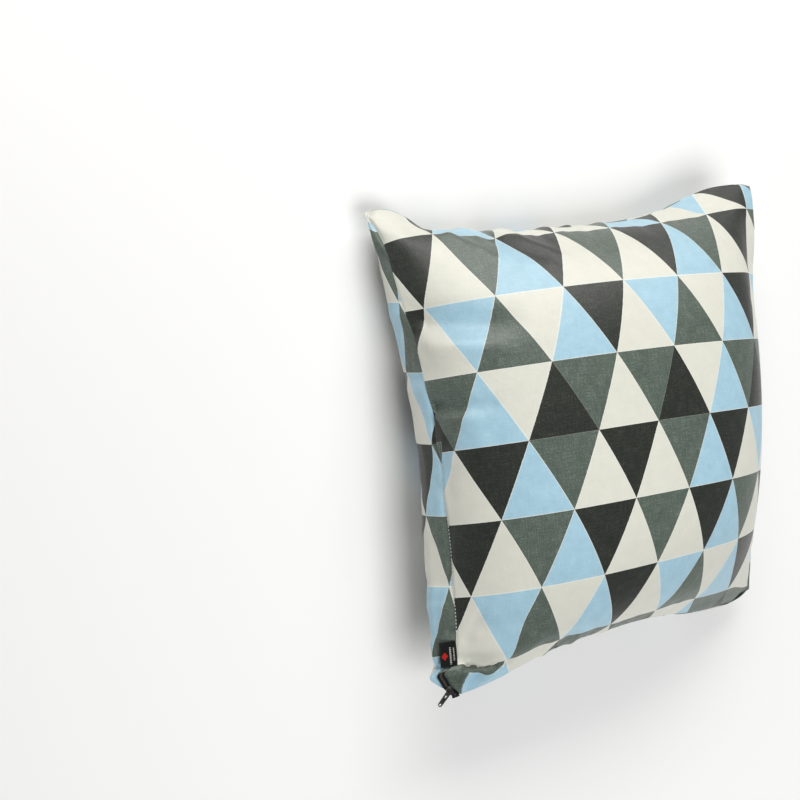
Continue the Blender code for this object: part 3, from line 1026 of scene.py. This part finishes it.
def addLabel():
    place, size = ownAxes("label")
    waveAlong, waveAcross, swing, lag = label["waves"]

    def labelPoint(share, over, side):
        rim = min(0.5 - abs(share - 0.5), 0.5 - abs(over - 0.5))
        rounded = min(1, math.sqrt(max(rim, 0) / label["rounding"] + 0.02))
        wave = math.sin(share * waveAlong + over * waveAcross) * math.cos(over * swing - lag)
        swell = side * label["thick"] / 2 * rounded * (0.75 + 0.25 * over)
        lift = label["lift"] + label["wave"] * wave + swell
        return place @ Vector(((share - 0.5) * size[0], (over - 0.5) * size[1], lift))

    mesh = bmesh.new()
    closedSheets(mesh, *label["grid"], labelPoint)
    material = wovenMaterial("blackWoven", label["ink"], label["selvedge"], place, size, label["rib"], label)
    addPiece("wovenLabel", mesh, material, "woven_label", "label")


addLabel()
print("label sewn in")


# Zip end: tape, teeth, slider and pull

metal = {
    "shader": {"Metallic": 0.85, "Specular IOR Level": 0.5},
    "black": (32, 32, 34),
    "bare": (176, 176, 172),  # where the black has worn off
    "wear": (0.5, 0.53, 9.0, 1.4),  # amount, the edge it begins at, sharpness, share of scratches
    "scratch": (900.0, 4.0, 0.65),  # scale, detail and roughness
    "scratchBump": (0.25, 0.0001),
    "roughness": (0.42, -0.12, 0.2),  # of the black, added by wear, added by scratches
}


def metalMaterial():
    finish = Finish("blackenedMetal", metal["shader"])
    scratch = finish.noise(finish.add("TexCoord", out=3), *metal["scratch"])
    edge = finish.add("NewGeometry", out=7)
    amount, start, sharpness, share = metal["wear"]
    worn = (((edge - start) * sharpness + (scratch - 0.5) * share) * amount).clamped()
    finish.set("Base Color", finish.mix(worn, paint(metal["black"]), paint(metal["bare"])))
    black, byWear, byScratch = metal["roughness"]
    finish.set("Roughness", worn * byWear + black + (scratch - 0.5) * byScratch)
    finish.set("Normal", finish.bump(scratch, *metal["scratchBump"]))
    return finish.material


def roundedBox(mesh, matrix, size, radius):
    made = bmesh.ops.create_cube(mesh, size=1, matrix=Matrix.Diagonal((*size, 1)))
    edges = list({edge for vertex in made["verts"] for edge in vertex.link_edges})
    result = bmesh.ops.bevel(mesh, geom=edges, offset=radius, segments=2, profile=0.5, affect="EDGES")
    places = set(result["verts"]) | {vertex for vertex in made["verts"] if vertex.is_valid}
    bmesh.ops.transform(mesh, matrix=matrix, verts=list(places))


tape = {
    "ink": (21, 21, 22),
    "edgeInk": (34, 34, 36),
    "rib": 0.0009,
    "from": -0.893,  # its ends, as places along the left side
    "to": -1.0,
    "length": 0.03,
    "beyond": 0.0015,  # how far it runs past the corner
    "onwards": (0.55, -0.80, -0.1),  # the way it runs there
    "width": 0.0074,
    "thick": 0.0007,
    "arch": 0.0006,
    "outwards": (-0.903, -0.154, -0.398),  # the way it leans out of the seam
    "facing": (-0.409, 0.038, 0.912),
    "stand": (0.0005, 0.0052),  # how far it stands off, at the seam and at its outer edge
    "grid": (24, 6),
}


def tapePoint(share, over, rise=0.0):
    # a point of the tape: along it from its top end, across it from the seam, and off its face
    v = tape["from"] + (tape["to"] - tape["from"]) * min(share, 1)
    seam, _ = onCloth(-1, v)
    seam += Vector(tape["outwards"]) * over * tape["width"]
    seam += Vector(tape["onwards"]) * max(share - 1, 0) * tape["length"]
    low, high = tape["stand"]
    arch = tape["arch"] * math.sin(math.pi * over)
    return seam + Vector(tape["facing"]) * (low + (high - low) * over + arch + rise)


def addTape(material):
    whole, thick = 1 + tape["beyond"] / tape["length"], tape["thick"]

    def sheetPoint(share, over, side):
        return tapePoint(share * whole, over, side * thick / 2)

    mesh = bmesh.new()
    closedSheets(mesh, *tape["grid"], sheetPoint)
    addPiece("zipTape", mesh, material, "zip_tape", "zip_tape")


teeth = {
    "ink": (88, 86, 82),
    "rib": 0.0004,
    "pitch": 0.00115,
    "at": 0.52,  # place across the tape
    "rise": 0.0006,
    "size": (0.62, 0.0017, 0.0009),  # length as a share of the pitch, width, height
    "stagger": 0.00035,
    "rounding": 0.00018,
}


def addTeeth(material):
    # small interlocking teeth along the tape's middle
    mesh = bmesh.new()
    length = (tapePoint(1, 0.5) - tapePoint(0, 0.5)).length
    count = int(length / teeth["pitch"])
    at, rise, (ofPitch, width, height) = teeth["at"], teeth["rise"], teeth["size"]
    for k in range(count):
        share = (k + 0.5) / count
        point = tapePoint(share, at, rise)
        along = (tapePoint(share + 0.02, at, rise) - point).normalized()
        side = (tapePoint(share, at + 0.1) - tapePoint(share, at)).normalized()
        out = side.cross(along).normalized()
        out = -out if out.dot(Vector(tape["facing"])) < 0 else out
        turn = Matrix((along, out.cross(along), out)).transposed().to_4x4()
        shift = Matrix.Translation((0, teeth["stagger"] * (1 if k % 2 else -1), 0))
        size = (length / count * ofPitch, width, height)
        roundedBox(mesh, Matrix.Translation(point) @ turn @ shift, size, teeth["rounding"])
    addPiece("zipTeeth", mesh, material, "zip_tape", "zip_coil")


slider = {
    "plates": ((0.30, 0.34), (-0.33, 0.30)),  # middle height and thickness, as shares of its height
    "segments": 28,
    "squareness": 0.32,
    "waist": (0.26, -0.35, 0.5),  # how narrow, and the places along that it grows between
    "taper": (0.94, 0.93),
    "bridge": (0.30, 0.34, 0.62),  # shares of its length, width and height
    "rounding": 0.0003,
}


def addSlider(material):
    # a waisted body of two plates with a bridge over the pull's end
    place, size = ownAxes("zip_slider")
    narrow, *ends = slider["waist"]
    mesh = bmesh.new()
    for rise, thick in slider["plates"]:
        made = bmesh.ops.create_circle(mesh, cap_ends=True, segments=slider["segments"], radius=0.5)
        face = made["verts"][0].link_faces[0]
        for vertex in made["verts"]:
            x, y = vertex.co.x, vertex.co.y
            square = max(abs(x), abs(y)) * 2
            fullness = 1 + slider["squareness"] * (1 / max(square, 0.3) - 1)
            waist = 1 - narrow * step(x, *ends)
            vertex.co = (x * fullness * size[0], y * fullness * waist * size[1], (rise - thick / 2) * size[2])
        grown = bmesh.ops.extrude_face_region(mesh, geom=[face])
        tops = [item for item in grown["geom"] if isinstance(item, bmesh.types.BMVert)]
        bmesh.ops.translate(mesh, verts=tops, vec=(0, 0, thick * size[2]))
        bmesh.ops.scale(mesh, verts=tops, vec=(*slider["taper"], 1))
    bridge = [share * whole for share, whole in zip(slider["bridge"], size)]
    roundedBox(mesh, Matrix(), bridge, slider["rounding"])
    bmesh.ops.transform(mesh, matrix=place, verts=mesh.verts)
    bmesh.ops.recalc_face_normals(mesh, faces=mesh.faces)
    addPiece("zipSliderBody", mesh, material, "black_metal", "zip_slider")


blackMetal = metalMaterial()
addTape(wovenMaterial("zipTapeWeave", tape["ink"], tape["edgeInk"], *ownAxes("zip_tape"), tape["rib"]))
addTeeth(wovenMaterial("zipCoilNylon", teeth["ink"], teeth["ink"], *ownAxes("zip_coil"), teeth["rib"]))
addSlider(blackMetal)
for slot in frame["nodes"]["zip_pull"].material_slots:
    slot.material = blackMetal
print("zip end made")


# Floor

floor = {
    "colour": (0.97, 0.97, 0.97),
    "size": 8.0,
    "drop": 0.0005,
    "shader": {"Roughness": 0.6},
}


def addFloor():
    ends = (-floor["size"] / 2, floor["size"] / 2)
    data = bpy.data.meshes.new("floor")
    data.from_pydata([(x, y, 0) for y in ends for x in ends], [], [(0, 1, 3, 2)])
    finish = Finish("paleFloor", floor["shader"])
    finish.set("Base Color", (*floor["colour"], 1))
    data.materials.append(finish.material)
    item = placed("floor", data)
    item.location.z = -floor["drop"]


addFloor()
print("floor laid")

print("finished")
